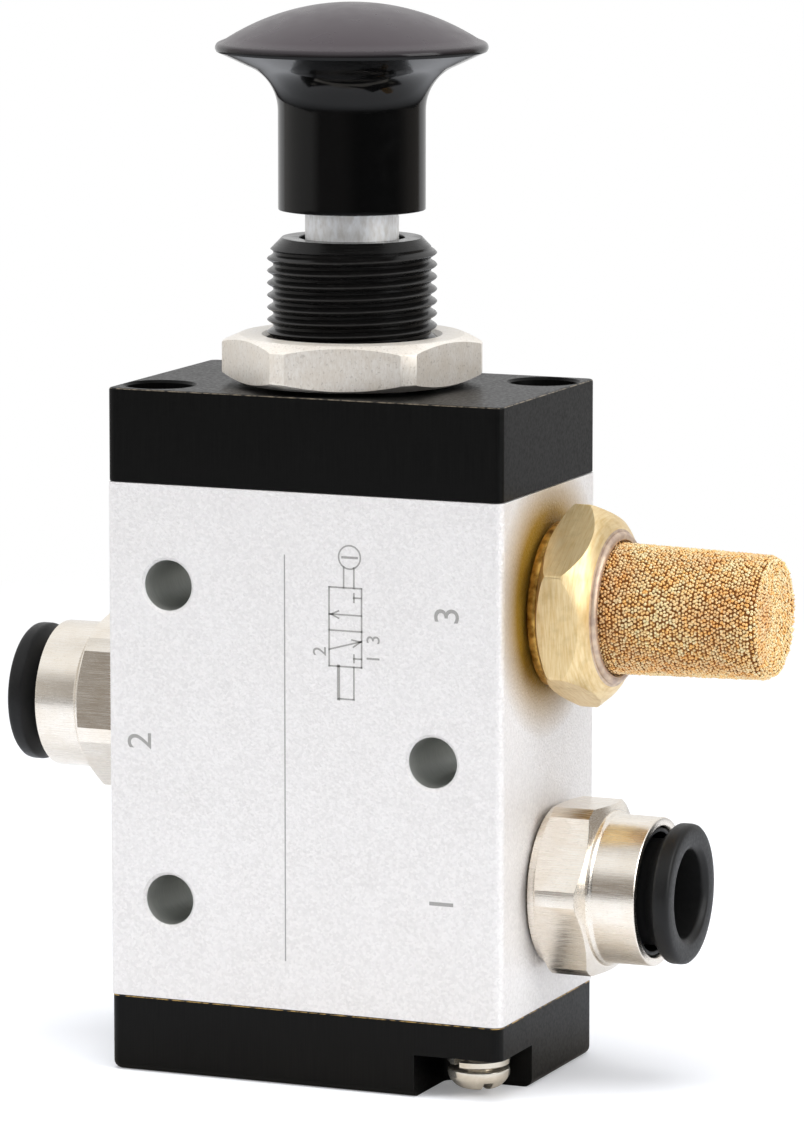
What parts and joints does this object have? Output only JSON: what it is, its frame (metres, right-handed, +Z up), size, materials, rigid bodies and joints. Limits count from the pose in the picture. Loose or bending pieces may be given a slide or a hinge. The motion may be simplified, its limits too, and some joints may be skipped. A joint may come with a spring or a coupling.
{
  "type": "push-pull valve",
  "caption": "Hand-operated spool valve: block body with black end covers, mushroom pull knob, threaded panel bushing with nut, push-in tube fittings and a sintered exhaust silencer.",
  "frame": {"origin": "centre of the bottom cover's underside, on which the valve stands", "axes": "+Z up along the spool and knob axis, +X towards the side with the supply fitting and the silencer, -Y towards the front face that is marked"},
  "size_m": [0.0759, 0.0256, 0.101],
  "materials": {
    "anodised_body": "sandblasted, clear anodised",
    "aluminium_spool": "turned and ground",
    "black_cover": "satin black anodised die casting",
    "black_bushing": "gloss black anodised thread",
    "black_knob": "polished moulded plastic",
    "black_collar": "moulded acetal, satin",
    "nickel": "nickel plate over turned brass",
    "steel": "turned and ground",
    "brass": "bright, as machined",
    "sintered_bronze": "sintered bronze beads",
    "seal_rubber": "moulded nitrile rubber"
  },
  "bodies": {
    "housing": {"valve_body": "anodised_body", "bottom_cover": "black_cover", "bottom_cover_screw_right": "nickel", "bottom_cover_screw_left": "nickel", "spring_washer_right": "nickel", "spring_washer_left": "nickel", "bottom_face_seal": "seal_rubber", "top_cover": "black_cover", "top_cover_screw_left": "steel", "top_cover_screw_right": "steel", "top_face_seal": "seal_rubber", "threaded_bushing": "black_bushing", "rod_seal": "seal_rubber", "detent_ball_left": "steel", "detent_ball_right": "steel", "detent_spring_left": "steel", "detent_spring_right": "steel", "panel_nut": "nickel", "fitting_p_body": "nickel", "fitting_p_tube_seal": "seal_rubber", "fitting_p_grab_ring": "steel", "fitting_p_guide_ring": "brass", "fitting_a_body": "nickel", "fitting_a_tube_seal": "seal_rubber", "fitting_a_grab_ring": "steel", "fitting_a_guide_ring": "brass", "silencer_body": "brass", "silencer_element": "sintered_bronze"},
    "spool": {"spool": "aluminium_spool", "spool_seal_bottom": "seal_rubber", "spool_seal_supply": "seal_rubber", "spool_seal_exhaust": "seal_rubber", "spool_seal_top": "seal_rubber"},
    "knob_and_rod": {"rod": "steel", "knob": "black_knob"},
    "collar_p": {"fitting_p_release_collar": "black_collar"},
    "collar_a": {"fitting_a_release_collar": "black_collar"}
  },
  "joints": [
    {"name": "push_pull", "type": "slide", "parent": "housing", "child": "spool", "axis": [0, 0, 1], "range_m": [0, 0.0052]},
    {"name": "knob_turn", "type": "hinge", "parent": "spool", "child": "knob_and_rod", "pos_m": [0, 0, 0.0682], "axis": [0, 0, 1], "continuous": true},
    {"name": "collar_p_press", "type": "slide", "parent": "housing", "child": "collar_p", "axis": [-1, 0, 0], "range_m": [0, 0.0012], "stiffness_N_per_m": 300, "springref_m": -0.0005},
    {"name": "collar_a_press", "type": "slide", "parent": "housing", "child": "collar_a", "axis": [1, 0, 0], "range_m": [0, 0.0012], "stiffness_N_per_m": 300, "springref_m": -0.0005}
  ]
}
